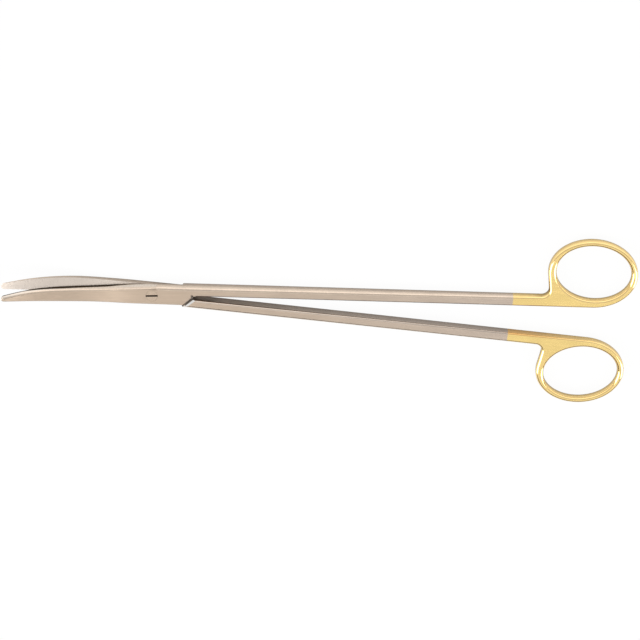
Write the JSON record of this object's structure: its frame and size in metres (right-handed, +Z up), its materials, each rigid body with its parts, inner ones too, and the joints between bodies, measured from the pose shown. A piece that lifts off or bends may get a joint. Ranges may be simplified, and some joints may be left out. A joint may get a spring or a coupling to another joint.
{
  "type": "dissecting scissors",
  "caption": "Long slim surgical scissors with blunt blades curved upwards, a lap joint on a slotted screw, tapering shanks and gold-plated oval finger rings.",
  "frame": {"origin": "on the pivot axis, at the underside of the joint, which the scissors rest on", "axes": "+X from the pivot to the finger rings, +Y to the ring of the front half, +Z up along the pivot axis, the way the tips of the blades curve"},
  "size_m": [0.255, 0.0736, 0.0128],
  "materials": {
    "satin_steel": "satin brushed lengthwise, with polished sides and gold-plated finger rings",
    "carbide": "fine ground grey",
    "screw_steel": "satin, ground flush with the joint"
  },
  "bodies": {
    "rear": {"rear_half": "satin_steel", "rear_insert": "carbide", "pivot_screw": "screw_steel"},
    "front": {"front_half": "satin_steel", "front_insert": "carbide"}
  },
  "joints": [
    {"name": "pivot", "type": "hinge", "parent": "rear", "child": "front", "pos_m": [0, 0, 0.0029], "axis": [0, 0, 1], "range_deg": [-4.7, 90]}
  ]
}
